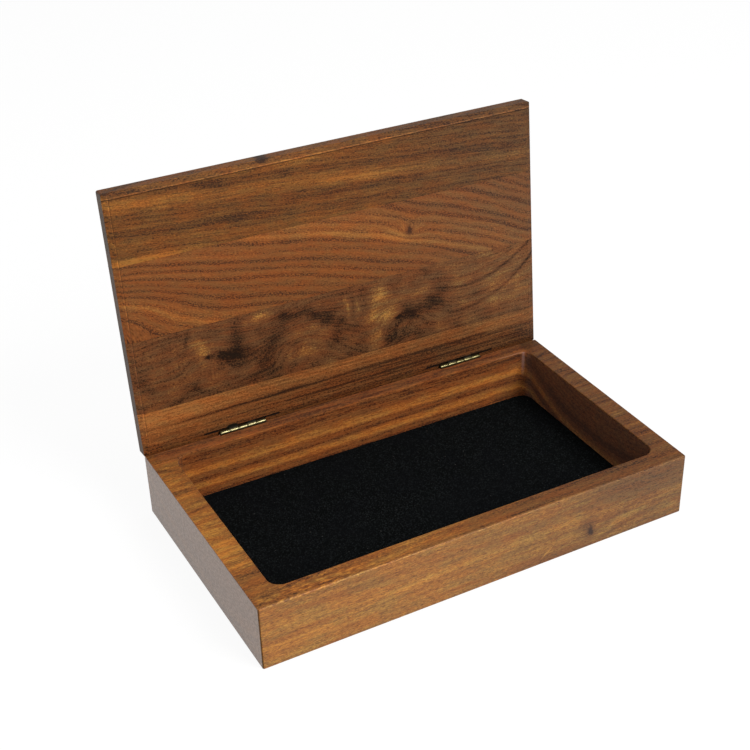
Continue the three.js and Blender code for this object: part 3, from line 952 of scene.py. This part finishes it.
def feltCloth(name, code, settings):
    material, tree, shader = newMaterial(name)
    place = objectPlace(tree)
    matted = noise(place, 1.3, 5.0, 0.7)
    specks = noise(place, 1.1, 2.0, 0.8).step(0.52, 0.66)
    cloud = noise(place, 0.05).step(0.35, 0.7, 0.0, 0.35)
    lint = cells(place, 0.16).step(0.05, 0.02) * 0.5
    feed(shader["Base Color"], layered(tint(code), [
        (matted.step(0.3, 0.75), settings["nap"]), (specks, settings["specks"]),
        (cloud, settings["cloud"]), (lint, settings["lint"])]))
    feed(shader["Roughness"], matted.step(0.2, 0.8, 0.85, 1.0))
    feed(shader["Specular IOR Level"], settings["specular"])
    feed(shader["Normal"], bump(matted, 0.8, 0.25))
    return material


def feltSag(x, y, settings):  # how far the laid felt lies below its full height
    wave = sin(x * 0.043 + 0.8) * sin(y * 0.061 + 0.4) + 0.5 * sin(x * 0.019 - y * 0.037)
    return settings["waves"] * (0.5 + 0.33 * wave)


def feltMesh(settings, material):
    low, high = feltLow / mm, feltHigh / mm
    centre, half = (low + high) / 2, (high - low) / 2
    corner = settings["corner"]
    columns, rows = settings["cells"]
    shape = bmesh.new()

    def vertex(i, j, height):
        x, y = (2 * i / columns - 1) * half.x, (2 * j / rows - 1) * half.y
        # pull the square grid into rounded corners
        over = Vector((abs(x) - (half.x - corner), abs(y) - (half.y - corner)))
        if over.x > 0 and over.y > 0:
            over = over.normalized() * max(over.x, over.y)
            x = copysign(half.x - corner + over.x, x)
            y = copysign(half.y - corner + over.y, y)
        return shape.verts.new(Vector((x + centre.x, y + centre.y, height)) * mm)

    def grid(height):
        return [[vertex(i, j, height) for i in range(columns + 1)] for j in range(rows + 1)]

    top = grid(high.z)
    bottom = grid(low.z)
    for j in range(rows):
        for i in range(columns):
            shape.faces.new((top[j][i], top[j][i + 1], top[j + 1][i + 1], top[j + 1][i]))
            shape.faces.new((bottom[j][i], bottom[j + 1][i], bottom[j + 1][i + 1], bottom[j][i + 1]))
    rim = [(0, i) for i in range(columns)] + [(j, columns) for j in range(rows)]
    rim += [(rows, i) for i in range(columns, 0, -1)] + [(j, 0) for j in range(rows, 0, -1)]
    for (j, i), (q, p) in zip(rim, rim[1:] + rim[:1]):
        shape.faces.new((top[q][p], top[j][i], bottom[j][i], bottom[q][p]))
    # the middle lies slightly uneven, and the top edge rolls over
    for row in top:
        for point in row:
            point.co.z -= feltSag(point.co.x / mm, point.co.y / mm, settings) * mm
    outer = [edge for edge in shape.edges if edge.calc_face_angle(0.0) > 1.0]
    upper = [edge for edge in outer if min(v.co.z for v in edge.verts) > (low.z + high.z) / 2 * mm]
    bmesh.ops.bevel(shape, geom=upper, offset=settings["edge"] * mm, segments=settings["edgeSteps"],
                    affect="EDGES", profile=0.5)
    bmesh.ops.recalc_face_normals(shape, faces=shape.faces)
    smoothByAngle(shape, 60)
    return meshOf("feltLining", shape, material)


def makeScatterTree():
    tree, given, made = newGroup("scatteredItems", {
        "Geometry": "Geometry", "Item": "Object", "Density": 1000.0, "Seed": 0, "Tilt": 0.4,
        "Smallest": 0.5, "Largest": 1.2, "Material": "Material",
    }, {"Geometry": "Geometry"}, "GeometryNodeTree")
    seed, tilt = given["Seed"], given["Tilt"]
    upward = combine("GREATER_THAN", split(addNode(tree, "GeometryNodeInputNormal"))[2], 0.8)
    dots = addNode(tree, "GeometryNodeDistributePointsOnFaces", {
        "Mesh": given["Geometry"], "Selection": upward, "Density": given["Density"], "Seed": seed}, "Points")
    item = addNode(tree, "GeometryNodeObjectInfo", {"Object": given["Item"]}, "Geometry")
    turn = addNode(tree, "FunctionNodeRandomValue", {
        "Min": join(tilt * -1.0, tilt * -1.0), "Max": join(tilt, tilt, 2 * pi), "Seed": seed,
    }, data_type="FLOAT_VECTOR")
    size = addNode(tree, "FunctionNodeRandomValue", {
        2: given["Smallest"], 3: given["Largest"], "Seed": seed}, 1, data_type="FLOAT")
    endTree(addNode(tree, "GeometryNodeInstanceOnPoints", {
        "Points": dots, "Instance": item, "Rotation": turn, "Scale": size}), given, made)
    return tree


def fibreMesh(settings, material):
    shape = bmesh.new()
    steps, length, width = settings["fibreSteps"], settings["fibreLength"], settings["fibreWidth"]
    rows = []
    for i in range(steps + 1):
        t = i / steps
        x = (t - 0.5) * length
        y = 0.18 * length * sin(pi * t)
        z = settings["fibreRise"] * sin(pi * t) - 0.02
        taper = width / 2 * (1 - 0.7 * abs(2 * t - 1))
        rows.append([shape.verts.new(Vector((x, y + side * taper, z)) * mm) for side in (-1, 1)])
    for (a, b), (c, d) in zip(rows, rows[1:]):
        shape.faces.new((a, c, d, b))
    return meshOf("fibre", shape, material)


def makeFelt(settings):
    felt = addObject("feltLining", feltMesh(settings, feltCloth("blackFelt", settings["pad"], settings)))
    fuzzCloth = feltCloth("feltFibre", settings["fibre"], settings)
    fibre = addObject("fibreItem", fibreMesh(settings, fuzzCloth))
    fuzz = addObject("feltFibres", felt.data.copy())
    applyGeometryTree(fuzz, makeScatterTree(), {
        "Item": fibre, "Density": settings["density"] / mm ** 2, "Seed": settings["seed"],
        "Material": fuzzCloth})
    bpy.data.objects.remove(fibre)
    settle(felt, "base", "felt", "felt_pad")
    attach(fuzz, "base")


makeFelt(feltSettings)
print("felt made")


# floor, backdrop and lamps

stageSettings = {
    "floorSize": 6.0, "floorWhite": 0.9, "floorGlow": 1.03, "glowShare": 0.9,
    "worldStrength": 0.32,
    "ceiling": (0.02, 0.45, 1.0, 0.12),  # heights between which the reflected room dims, from and to what
    "lamps": {
        "frontLamp": {"place": (0.55, -1.2, 1.2), "size": 0.8, "power": 27.0},
        "overLamp": {"place": (0.2, 0.1, 1.6), "size": 1.2, "power": 8.0},
    },
    "lampAim": (0.0, 0.0, 0.05),
}


def mixShaders(share, plain, other, output):
    feed(output.inputs["Surface"], addNode(share.tree, "ShaderNodeMixShader", {
        0: share, 1: Signal(plain.outputs[0]), 2: other}))


def makeBackdrop(settings):
    world = bpy.data.worlds.new("studio")
    bpy.context.scene.world = world
    world.use_nodes = True
    tree = world.node_tree
    light = tree.nodes["Background"]
    feed(light.inputs["Color"], white)
    feed(light.inputs["Strength"], settings["worldStrength"])
    # white wherever it shows, and in reflections white near the horizon under a dimmer ceiling
    path = named(tree.nodes.new("ShaderNodeLightPath").outputs)
    height = split(addNode(tree, "ShaderNodeTexCoord", output="Generated"))[2]
    room = larger(height.step(*settings["ceiling"]), 1.0 - path["Is Glossy Ray"])
    shown = addNode(tree, "ShaderNodeBackground", {"Color": white, "Strength": room})
    seen = larger(path["Is Camera Ray"], larger(path["Is Glossy Ray"], path["Is Transmission Ray"]))
    mixShaders(seen, light, shown, tree.nodes["World Output"])


def makeFloor(settings):
    half, grey = settings["floorSize"] / 2, settings["floorWhite"]
    mesh = bpy.data.meshes.new("floor")
    corners = [(-half, -half, 0), (half, -half, 0), (half, half, 0), (-half, half, 0)]
    mesh.from_pydata(corners, [], [(0, 1, 2, 3)])
    floor = addObject("floor", mesh)
    material, tree, shader = newMaterial("floorPaper")
    feed(shader["Base Color"], (grey, grey, grey, 1.0))
    feed(shader["Roughness"], 0.9)
    glow = addNode(tree, "ShaderNodeEmission", {"Color": white, "Strength": settings["floorGlow"]})
    path = named(tree.nodes.new("ShaderNodeLightPath").outputs)
    seen = larger(path["Is Camera Ray"], path["Is Glossy Ray"]) * settings["glowShare"]
    mixShaders(seen, tree.nodes["Principled BSDF"], glow, tree.nodes["Material Output"])
    mesh.materials.append(material)


def addLamps(settings):
    for name, lamp in settings["lamps"].items():
        data = bpy.data.lights.new(name, "AREA")
        data.size = lamp["size"]
        data.energy = lamp["power"]
        item = addObject(name, data)
        item.location = lamp["place"]
        aim = Vector(settings["lampAim"]) - item.location
        item.rotation_euler = aim.to_track_quat("-Z", "Y").to_euler()


bpy.context.scene.view_settings.view_transform = "Standard"
makeBackdrop(stageSettings)
makeFloor(stageSettings)
addLamps(stageSettings)
print("stage set")
